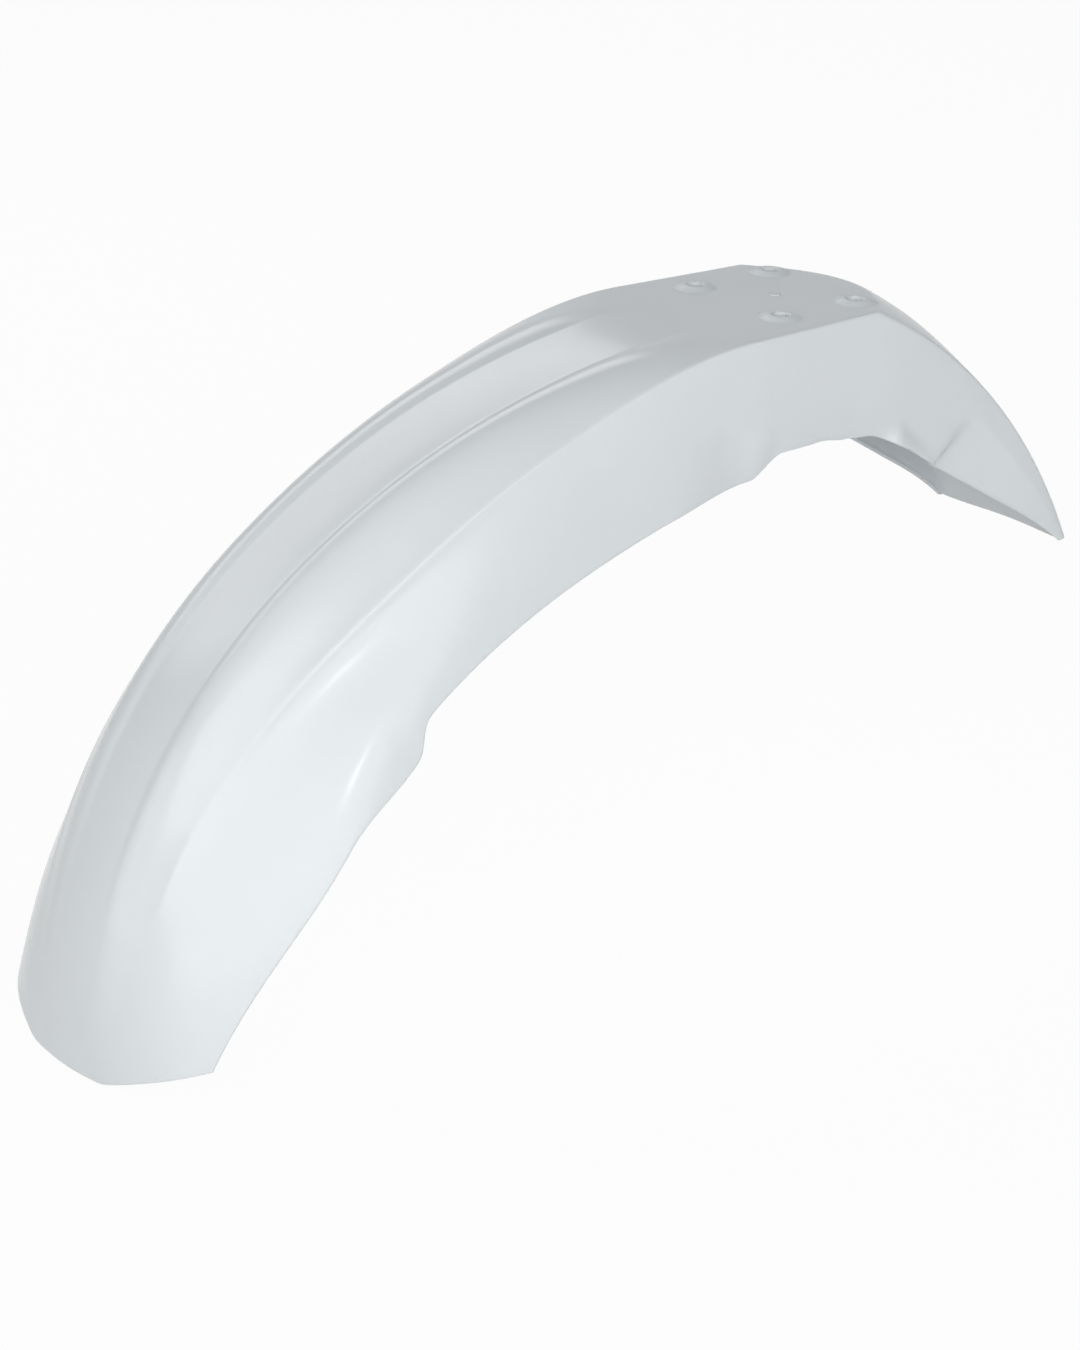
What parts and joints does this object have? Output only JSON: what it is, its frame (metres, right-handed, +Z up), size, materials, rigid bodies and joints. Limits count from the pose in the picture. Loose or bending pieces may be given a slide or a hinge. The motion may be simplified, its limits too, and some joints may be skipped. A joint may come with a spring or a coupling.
{
  "type": "motorcycle front mudguard",
  "caption": "Off-road motorcycle front mudguard: a long arched white plastic shell with a bolted flat, creased shoulders, deep side walls and a short rear flap.",
  "frame": {"origin": "middle of the four bolt holes, level with the top faces of the pads round them", "axes": "+X forward along the guard, +Y to the rider's left, +Z up out of the bolted flat"},
  "size_m": [0.7265, 0.208, 0.3609],
  "materials": {
    "moulding": "glossy white moulded polypropylene"
  },
  "bodies": {
    "root": {"mudguard": "moulding"}
  },
  "joints": []
}
